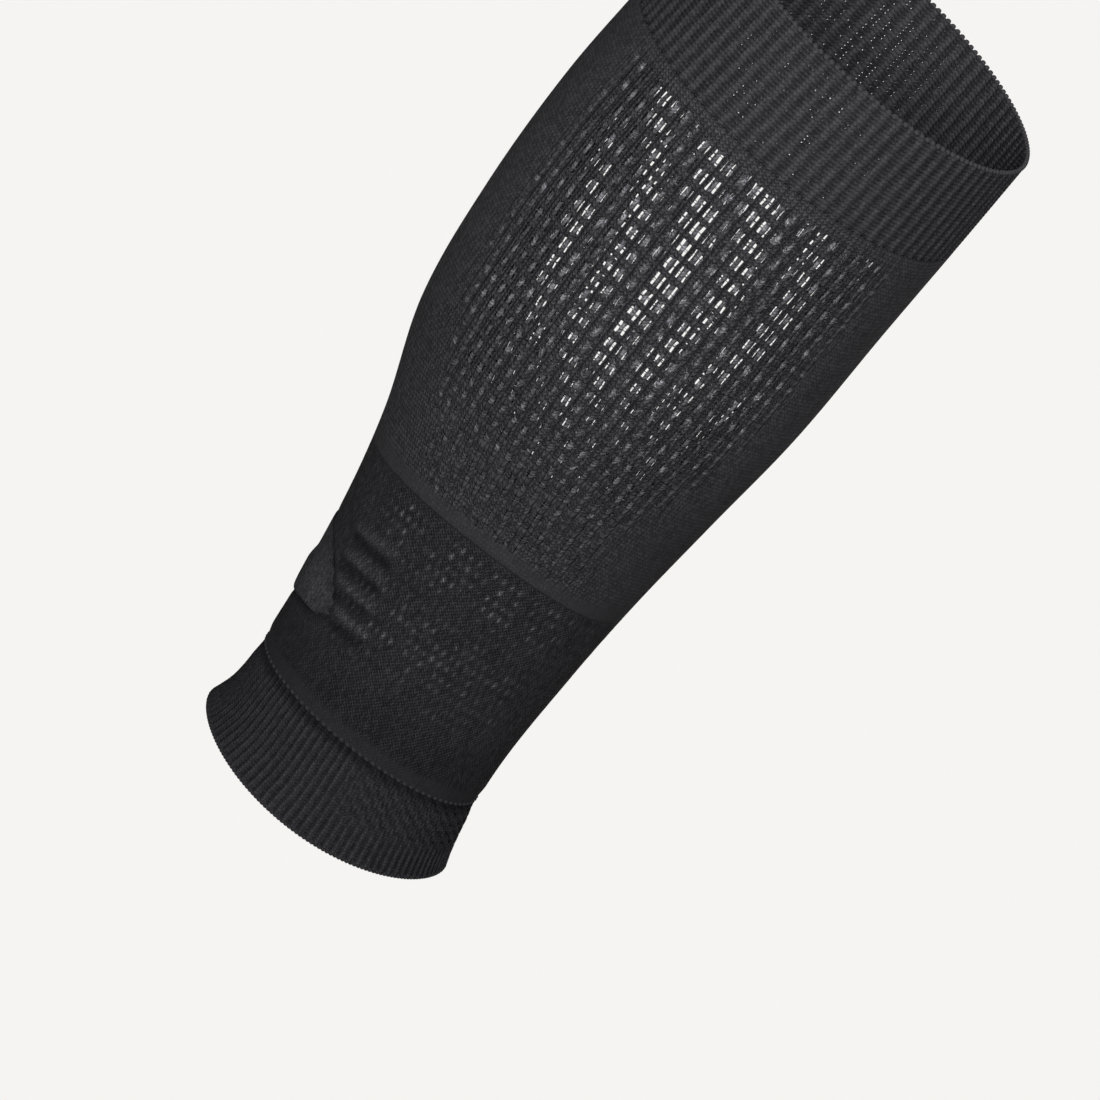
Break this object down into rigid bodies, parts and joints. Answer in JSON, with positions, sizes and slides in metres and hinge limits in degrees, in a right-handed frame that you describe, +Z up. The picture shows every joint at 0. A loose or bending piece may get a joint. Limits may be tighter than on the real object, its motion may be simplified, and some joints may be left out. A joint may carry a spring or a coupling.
{
  "type": "compression sleeve",
  "caption": "Knitted calf compression sleeve in its worn shape, with a ribbed upper cuff, openwork calf panel, ankle panel with a raised Achilles pad, and a flared ribbed lower cuff.",
  "frame": {"origin": "on the leg's axis, at the height where the calf is fullest", "axes": "+Z up the leg towards the knee, +X towards the shin, Y from flank to flank"},
  "size_m": [0.1289, 0.1332, 0.3105],
  "materials": {
    "upper_cuff_knit": "matt black rib knit of nylon and elastane",
    "calf_knit": "matt black openwork knit of nylon and elastane",
    "ankle_knit": "matt black close knit of nylon and elastane",
    "pad_knit": "smooth dark grey plain knit over a soft pad",
    "lower_cuff_knit": "matt black fine rib knit of nylon and elastane"
  },
  "bodies": {
    "root": {"upper_cuff": "upper_cuff_knit", "calf_panel": "calf_knit", "ankle_panel": "ankle_knit", "achilles_pad": "pad_knit", "lower_cuff": "lower_cuff_knit"}
  },
  "joints": []
}
